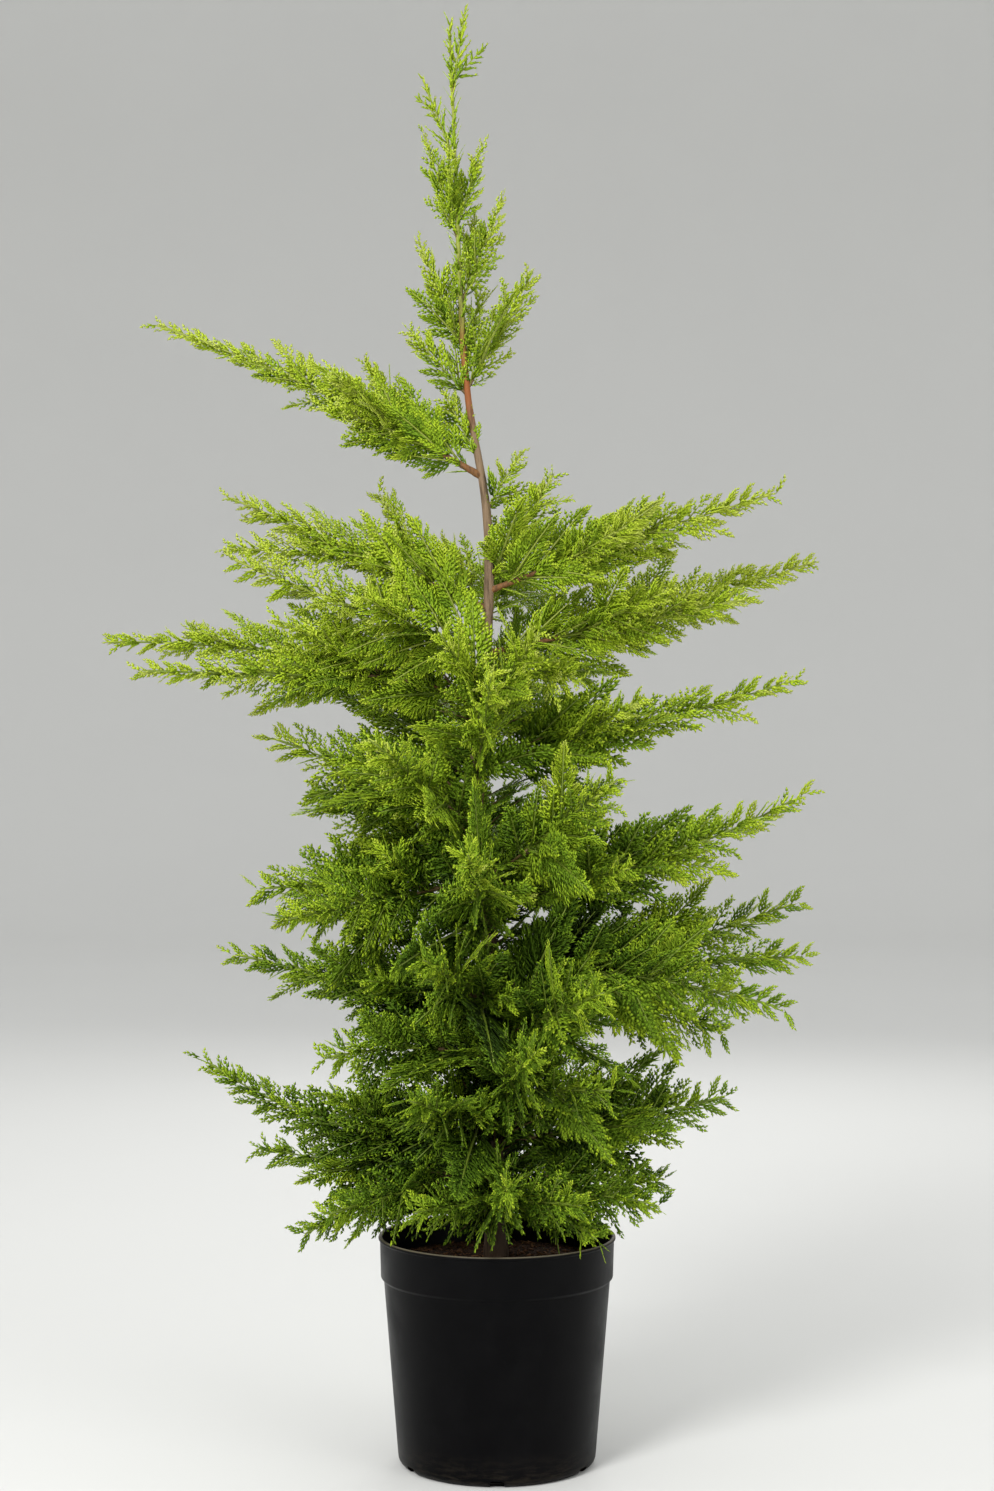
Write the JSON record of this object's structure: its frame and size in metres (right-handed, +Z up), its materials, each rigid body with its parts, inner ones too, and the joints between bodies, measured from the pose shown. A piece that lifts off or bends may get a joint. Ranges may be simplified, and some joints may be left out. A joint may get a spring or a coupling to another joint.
{
  "type": "cypress tree",
  "caption": "Young feathery conifer with a slender leaning leader and open tiers of flat green sprays, growing in a round black nursery pot.",
  "frame": {"origin": "middle of the pot's flat underside, on the surface that the pot stands on", "axes": "+Z up along the trunk; the pot's and the trunk's foot are on the Z axis; -Y is the face that is turned to the viewer, with the longest low limbs to -X and +X"},
  "size_m": [0.7379, 0.4619, 1.4748],
  "materials": {
    "pot": "satin",
    "soil": "rough",
    "bark": "rough",
    "foliage": "satin"
  },
  "bodies": {
    "root": {"bough_left_base": "bark", "bough_left_high": "bark", "bough_left_top": "bark", "bough_left_upper": "bark", "bough_right_broad": "bark", "bough_right_high": "bark", "bough_right_low": "bark", "bough_right_top": "bark", "bough_right_upper": "bark", "mass_back_high": "foliage", "mass_back_left": "foliage", "mass_back_low": "foliage", "mass_back_middle": "foliage", "mass_back_skirt": "foliage", "mass_back_upper": "foliage", "mass_collar_left": "foliage", "mass_front_centre": "foliage", "mass_front_high": "foliage", "mass_front_left": "foliage", "mass_front_low": "foliage", "mass_front_low_left": "foliage", "mass_front_middle": "foliage", "mass_front_right": "foliage", "mass_front_skirt": "foliage", "mass_front_upper": "foliage", "mass_high_back": "foliage", "mass_high_left": "foliage", "mass_high_right": "foliage", "mass_leader_left": "foliage", "mass_leader_low_left": "foliage", "mass_leader_low_right": "foliage", "mass_leader_right": "foliage", "mass_left_back": "foliage", "mass_left_base": "foliage", "mass_left_broad": "foliage", "mass_left_front": "foliage", "mass_left_front_high": "foliage", "mass_left_high": "foliage", "mass_left_low": "foliage", "mass_left_middle": "foliage", "mass_left_skirt": "foliage", "mass_left_top": "foliage", "mass_left_upper": "foliage", "mass_plume_right": "foliage", "mass_right_base": "foliage", "mass_right_broad": "foliage", "mass_right_front": "foliage", "mass_right_front_low": "foliage", "mass_right_high": "foliage", "mass_right_low": "foliage", "mass_right_skirt": "foliage", "mass_right_top": "foliage", "mass_right_upper": "foliage", "mass_spur_left": "foliage", "mass_spur_low_right": "foliage", "mass_spur_right": "foliage", "mass_tip": "foliage", "pot": "pot", "soil": "soil", "trunk": "bark"}
  },
  "joints": []
}
